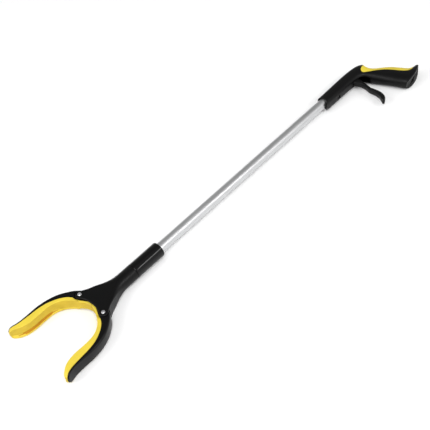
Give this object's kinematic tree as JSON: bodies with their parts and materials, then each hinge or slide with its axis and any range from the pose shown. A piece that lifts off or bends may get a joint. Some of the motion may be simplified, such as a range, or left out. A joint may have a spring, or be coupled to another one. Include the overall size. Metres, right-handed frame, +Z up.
{
  "type": "reacher grabber",
  "caption": "Reacher grabber lying on its side: pistol grip with finger trigger, straight tube and a swivelling two-jaw head with soft pads.",
  "frame": {"origin": "middle of the underside of the box round the whole part, lying on its side with the jaws open", "axes": "+X along the tube towards the handle, +Z up and square to the plane of the handle and the jaws, -Y to the side of the trigger"},
  "size_m": [0.8132, 0.1548, 0.0254],
  "materials": {
    "black_plastic": "fine moulded texture, satin",
    "black_gloss_plastic": "smooth, glossy",
    "black_trigger_plastic": "smooth satin",
    "yellow_grip": "soft matte layer moulded on the grip",
    "yellow_rubber": "soft matte rubber",
    "aluminium_tube": "drawn and satin anodised",
    "plated_steel": "bright zinc or nickel plating",
    "steel": "plain drawn steel",
    "white_plastic": "natural acetal"
  },
  "bodies": {
    "handle": {"tube": "aluminium_tube", "head_socket": "black_gloss_plastic", "collar_rivet": "plated_steel", "rod_guide_front": "white_plastic", "rod_guide_rear": "white_plastic", "handle_shell_upper": "black_plastic", "handle_shell_lower": "black_plastic", "grip_insert": "yellow_grip", "trigger_pin": "plated_steel", "handle_screws": "steel", "tube_screw": "steel"},
    "trigger": {"trigger": "black_trigger_plastic"},
    "rod": {"pull_rod": "steel"},
    "head": {"head_shell_upper": "black_plastic", "head_shell_lower": "black_plastic", "pivot_screws": "plated_steel", "pivot_nuts": "plated_steel", "head_screws": "steel", "return_spring": "steel", "spring_seat": "steel", "swivel_washer": "white_plastic"},
    "crosshead": {"crosshead": "white_plastic"},
    "jaw_left": {"jaw_left": "black_plastic", "pad_left": "yellow_rubber", "drive_pin_left": "steel"},
    "jaw_right": {"jaw_right": "black_plastic", "pad_right": "yellow_rubber", "drive_pin_right": "steel"}
  },
  "joints": [
    {"name": "trigger_pull", "type": "hinge", "parent": "handle", "child": "trigger", "pos_m": [0.31458, 0.0163, 0.0125], "axis": [0, 0, 1], "range_deg": [0, 21], "stiffness_Nm_per_rad": 0.5, "springref_deg": -22.92},
    {"name": "rod_slide", "type": "slide", "parent": "handle", "child": "rod", "axis": [1, 0, 0], "range_m": [0, 0.00502]},
    {"name": "head_swivel", "type": "hinge", "parent": "handle", "child": "head", "pos_m": [-0.22842, 0.0118, 0.0125], "axis": [1, 0, 0], "range_deg": [0, 90]},
    {"name": "crosshead_slide", "type": "slide", "parent": "head", "child": "crosshead", "axis": [1, 0, 0], "range_m": [0, 0.00502], "deforming": ["return_spring"]},
    {"name": "jaw_left_pivot", "type": "hinge", "parent": "head", "child": "jaw_left", "pos_m": [-0.29862, 0.0372, 0.0125], "axis": [0, 0, 1], "range_deg": [0, 29]},
    {"name": "jaw_right_pivot", "type": "hinge", "parent": "head", "child": "jaw_right", "pos_m": [-0.29862, -0.0136, 0.0125], "axis": [0, 0, 1], "range_deg": [-29, 0]}
  ],
  "couplings": [
    {"joint": "rod_slide", "follows": "trigger_pull", "m_per_rad": 0.01368},
    {"joint": "crosshead_slide", "follows": "trigger_pull", "m_per_rad": 0.01368},
    {"joint": "jaw_left_pivot", "follows": "trigger_pull", "ratio": 1.3809},
    {"joint": "jaw_right_pivot", "follows": "trigger_pull", "ratio": -1.3809}
  ]
}
